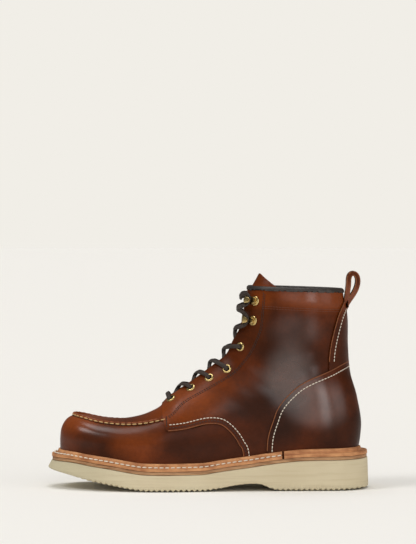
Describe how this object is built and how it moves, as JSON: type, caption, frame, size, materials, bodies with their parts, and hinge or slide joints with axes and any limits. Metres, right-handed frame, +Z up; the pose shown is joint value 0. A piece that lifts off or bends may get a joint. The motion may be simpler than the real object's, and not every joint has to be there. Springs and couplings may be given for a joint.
{
  "type": "wedge sole work boot",
  "caption": "Lace-up leather work boot with a moccasin toe, a stitched welt and a pale one-piece wedge sole, open at collar and throat, standing empty on its sole.",
  "frame": {"origin": "on the floor, under the middle of the object's box", "axes": "+Z up, -X towards the toe, -Y towards the outer side of the left foot"},
  "size_m": [0.31, 0.113, 0.2058],
  "materials": {
    "sole_rubber": "matt cream wedge rubber",
    "midsole_layer": "tan pressed layer, matt edge",
    "welt_leather": "tan welt leather with pale stitches",
    "insole_leather": "undyed matt insole leather",
    "upper_leather": "oiled pull-up leather, soft sheen",
    "binding_tape": "black binding tape, satin",
    "brass_fittings": "pale polished brass",
    "lace_cord": "dark brown waxed lace"
  },
  "bodies": {
    "root": {"outsole": "sole_rubber", "midsole": "midsole_layer", "welt": "welt_leather", "heel_rand": "welt_leather", "insole": "insole_leather", "upper": "upper_leather", "heel_counter": "upper_leather", "backstay": "upper_leather", "collar_binding": "binding_tape", "tongue": "upper_leather", "eyelet_outer_1": "brass_fittings", "eyelet_outer_2": "brass_fittings", "eyelet_outer_3": "brass_fittings", "eyelet_outer_4": "brass_fittings", "eyelet_outer_5": "brass_fittings", "eyelet_inner_1": "brass_fittings", "eyelet_inner_2": "brass_fittings", "eyelet_inner_3": "brass_fittings", "eyelet_inner_4": "brass_fittings", "eyelet_inner_5": "brass_fittings", "hook_outer_1": "brass_fittings", "hook_outer_2": "brass_fittings", "hook_inner_1": "brass_fittings", "hook_inner_2": "brass_fittings", "lace_bar_low": "lace_cord", "lace_cross_1": "lace_cord", "lace_cross_2": "lace_cord", "lace_cross_3": "lace_cord", "lace_cross_4": "lace_cord", "lace_cross_5": "lace_cord", "lace_cross_6": "lace_cord"}
  },
  "joints": []
}
